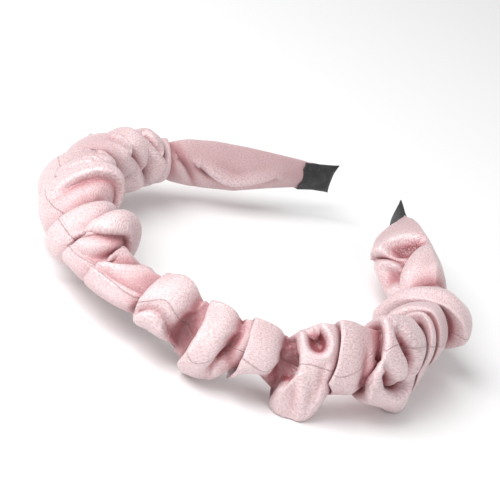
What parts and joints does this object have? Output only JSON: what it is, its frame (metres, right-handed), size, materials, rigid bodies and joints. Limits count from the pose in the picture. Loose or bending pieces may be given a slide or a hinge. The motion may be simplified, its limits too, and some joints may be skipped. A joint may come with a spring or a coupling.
{
  "type": "headband",
  "caption": "Ruched satin headband: a springy flat strip inside a gathered fabric sleeve with puffed folds, narrowing to plain arms with black end caps.",
  "frame": {"origin": "middle of the overall width and depth, on the level of the side edge that the band lies on", "axes": "+Z along the width of the band, up from the edge it lies on; +Y from the crown towards the two tips; +X towards the right half"},
  "size_m": [0.1378, 0.1514, 0.028],
  "materials": {
    "strip_plastic": "moulded, matt",
    "satin": "dusty pink satin with a fine crepe grain",
    "glue": "set hot-melt glue",
    "cap_black": "soft matt shrink sleeve, pinched flat"
  },
  "bodies": {
    "left_half": {"core_strip_left": "strip_plastic", "satin_sleeve_left": "satin", "end_glue_left": "glue", "end_cap_left": "cap_black"},
    "right_half": {"core_strip_right": "strip_plastic", "satin_sleeve_right": "satin", "end_glue_right": "glue", "end_cap_right": "cap_black"}
  },
  "joints": [
    {"name": "crown_flex", "type": "hinge", "parent": "left_half", "child": "right_half", "pos_m": [0, -0.065, 0.014], "axis": [0, 0, -1], "range_deg": [-8, 42], "stiffness_Nm_per_rad": 0.1}
  ]
}
